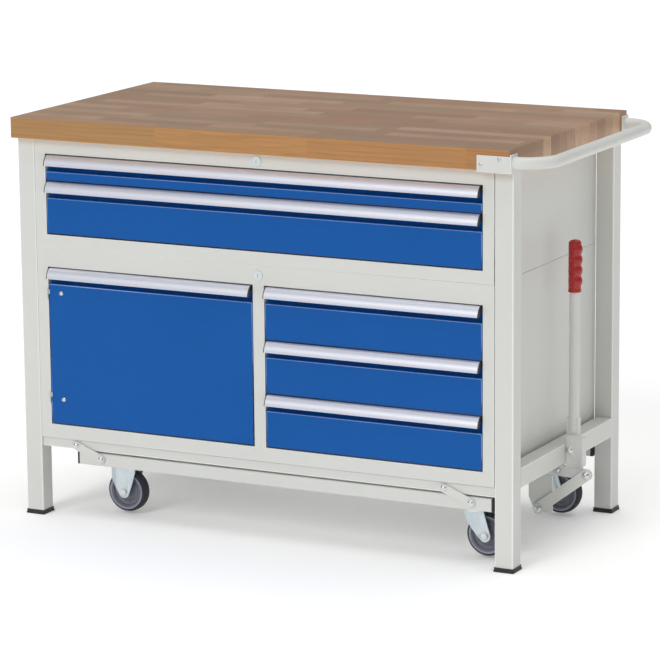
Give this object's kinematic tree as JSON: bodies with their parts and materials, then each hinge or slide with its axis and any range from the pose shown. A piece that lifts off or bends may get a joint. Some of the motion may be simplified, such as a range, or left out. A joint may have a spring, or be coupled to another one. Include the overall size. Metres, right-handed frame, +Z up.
{
  "type": "workbench with drawers",
  "caption": "Workbench with a laminated wood top, drawers that slide, a cupboard door, a push bar and a hand lever that presses castors to the floor.",
  "frame": {"origin": "on the floor, under the middle of the whole outline with the push bar", "axes": "+X along the bench towards the push bar, +Y from the drawer fronts to the back, +Z up"},
  "size_m": [1.3386, 0.6714, 0.94],
  "materials": {
    "beech": "oiled laminated beech",
    "grey_paint": "light grey powder coat",
    "blue_paint": "gentian blue powder coat",
    "anodised_aluminium": "satin anodised",
    "zinc": "bright zinc plate",
    "black_plastic": "matt",
    "red_plastic": "satin soft vinyl",
    "tyre_grey": "matt solid rubber on a grey plastic hub"
  },
  "bodies": {
    "bench": {"worktop": "beech", "leg_front_left": "grey_paint", "leg_front_right": "grey_paint", "leg_rear_left": "grey_paint", "leg_rear_right": "grey_paint", "foot_caps": "black_plastic", "frame_rails": "grey_paint", "upper_cabinet_sides": "grey_paint", "lower_cabinet_walls": "grey_paint", "cabinet_floors": "grey_paint", "cabinet_backs": "grey_paint", "cupboard_shelf": "grey_paint", "upper_face_frame": "grey_paint", "lower_face_frame": "grey_paint", "lock_housings": "zinc", "push_bar": "grey_paint", "push_bar_brackets": "grey_paint", "frame_fasteners": "zinc", "drawer_runners": "zinc", "lever_pivot_bracket": "grey_paint", "door_hinge_pins": "zinc"},
    "upper_lock": {"upper_lock_cylinder": "zinc"},
    "lower_lock": {"lower_lock_cylinder": "zinc"},
    "drawer_1": {"drawer_1_tray": "grey_paint", "drawer_1_front": "blue_paint", "drawer_1_grip": "anodised_aluminium"},
    "drawer_2": {"drawer_2_tray": "grey_paint", "drawer_2_front": "blue_paint", "drawer_2_grip": "anodised_aluminium"},
    "drawer_3": {"drawer_3_tray": "grey_paint", "drawer_3_front": "blue_paint", "drawer_3_grip": "anodised_aluminium"},
    "drawer_4": {"drawer_4_tray": "grey_paint", "drawer_4_front": "blue_paint", "drawer_4_grip": "anodised_aluminium"},
    "drawer_5": {"drawer_5_tray": "grey_paint", "drawer_5_front": "blue_paint", "drawer_5_grip": "anodised_aluminium"},
    "door": {"door_panel": "blue_paint", "door_grip": "anodised_aluminium"},
    "lever": {"lever_bar": "grey_paint", "lever_handle": "red_plastic", "lever_yoke": "grey_paint"},
    "drawbar": {"drawbar": "grey_paint"},
    "link_front_left": {"link_front_left": "grey_paint"},
    "link_front_right": {"link_front_right": "grey_paint"},
    "link_rear_left": {"link_rear_left": "grey_paint"},
    "link_rear_right": {"link_rear_right": "grey_paint"},
    "carriage": {"carriage_rails": "grey_paint", "rail_end_caps": "black_plastic", "carriage_cross_members": "grey_paint", "carriage_pivot_bolts": "zinc", "fixed_castor_forks": "zinc", "swivel_castor_plates": "zinc"},
    "swivel_front": {"swivel_fork_front": "zinc"},
    "swivel_rear": {"swivel_fork_rear": "zinc"},
    "wheel_front_left": {"wheel_front_left": "tyre_grey"},
    "wheel_rear_left": {"wheel_rear_left": "tyre_grey"},
    "wheel_front_right": {"wheel_front_right": "tyre_grey"},
    "wheel_rear_right": {"wheel_rear_right": "tyre_grey"}
  },
  "joints": [
    {"name": "drawer_1_slide", "type": "slide", "parent": "bench", "child": "drawer_1", "axis": [0, -1, 0], "range_m": [0, 0.4]},
    {"name": "drawer_2_slide", "type": "slide", "parent": "bench", "child": "drawer_2", "axis": [0, -1, 0], "range_m": [0, 0.4]},
    {"name": "drawer_3_slide", "type": "slide", "parent": "bench", "child": "drawer_3", "axis": [0, -1, 0], "range_m": [0, 0.4]},
    {"name": "drawer_4_slide", "type": "slide", "parent": "bench", "child": "drawer_4", "axis": [0, -1, 0], "range_m": [0, 0.4]},
    {"name": "drawer_5_slide", "type": "slide", "parent": "bench", "child": "drawer_5", "axis": [0, -1, 0], "range_m": [0, 0.4]},
    {"name": "door_hinge", "type": "hinge", "parent": "bench", "child": "door", "pos_m": [-0.59485, -0.3094, 0.4075], "axis": [0, 0, -1], "range_deg": [0, 110]},
    {"name": "upper_lock_turn", "type": "hinge", "parent": "bench", "child": "upper_lock", "pos_m": [-0.04425, -0.306, 0.8735], "axis": [0, 1, 0], "range_deg": [0, 90]},
    {"name": "lower_lock_turn", "type": "hinge", "parent": "bench", "child": "lower_lock", "pos_m": [-0.04425, -0.306, 0.6155], "axis": [0, 1, 0], "range_deg": [0, 90]},
    {"name": "link_front_left_swing", "type": "hinge", "parent": "bench", "child": "link_front_left", "pos_m": [-0.53025, -0.3026, 0.175], "axis": [0, 1, 0], "range_deg": [0, 58]},
    {"name": "link_front_right_swing", "type": "hinge", "parent": "bench", "child": "link_front_right", "pos_m": [0.40975, -0.3026, 0.175], "axis": [0, 1, 0], "range_deg": [0, 58]},
    {"name": "link_rear_left_swing", "type": "hinge", "parent": "bench", "child": "link_rear_left", "pos_m": [-0.53025, 0.3026, 0.175], "axis": [0, 1, 0], "range_deg": [0, 58]},
    {"name": "link_rear_right_swing", "type": "hinge", "parent": "bench", "child": "link_rear_right", "pos_m": [0.40975, 0.3026, 0.175], "axis": [0, 1, 0], "range_deg": [0, 58]},
    {"name": "carriage_swing", "type": "hinge", "parent": "link_front_left", "child": "carriage", "pos_m": [-0.46451, -0.3026, 0.14817], "axis": [0, 1, 0], "range_deg": [-58, 0]},
    {"name": "lever_swing", "type": "hinge", "parent": "bench", "child": "lever", "pos_m": [0.55575, -0.0075, 0.165], "axis": [0, 1, 0], "range_deg": [0, 63]},
    {"name": "drawbar_swing", "type": "hinge", "parent": "lever", "child": "drawbar", "pos_m": [0.62725, -0.013, 0.1595], "axis": [0, 1, 0], "range_deg": [-55, 0]},
    {"name": "swivel_front_turn", "type": "hinge", "parent": "carriage", "child": "swivel_front", "pos_m": [0.44375, -0.205, 0.112], "axis": [0, 0, 1], "continuous": true},
    {"name": "swivel_rear_turn", "type": "hinge", "parent": "carriage", "child": "swivel_rear", "pos_m": [0.44375, 0.205, 0.112], "axis": [0, 0, 1], "continuous": true},
    {"name": "wheel_front_left_roll", "type": "hinge", "parent": "carriage", "child": "wheel_front_left", "pos_m": [-0.44825, -0.205, 0.055], "axis": [0, 1, 0], "continuous": true},
    {"name": "wheel_rear_left_roll", "type": "hinge", "parent": "carriage", "child": "wheel_rear_left", "pos_m": [-0.44825, 0.205, 0.055], "axis": [0, 1, 0], "continuous": true},
    {"name": "wheel_front_right_roll", "type": "hinge", "parent": "swivel_front", "child": "wheel_front_right", "pos_m": [0.47575, -0.205, 0.055], "axis": [0, 1, 0], "continuous": true},
    {"name": "wheel_rear_right_roll", "type": "hinge", "parent": "swivel_rear", "child": "wheel_rear_right", "pos_m": [0.47575, 0.205, 0.055], "axis": [0, 1, 0], "continuous": true}
  ],
  "couplings": [
    {"joint": "link_front_right_swing", "follows": "link_front_left_swing", "ratio": 1},
    {"joint": "link_rear_left_swing", "follows": "link_front_left_swing", "ratio": 1},
    {"joint": "link_rear_right_swing", "follows": "link_front_left_swing", "ratio": 1},
    {"joint": "carriage_swing", "follows": "link_front_left_swing", "ratio": -1},
    {"joint": "lever_swing", "follows": "link_front_left_swing", "ratio": 1.085},
    {"joint": "drawbar_swing", "follows": "link_front_left_swing", "ratio": -0.945}
  ]
}
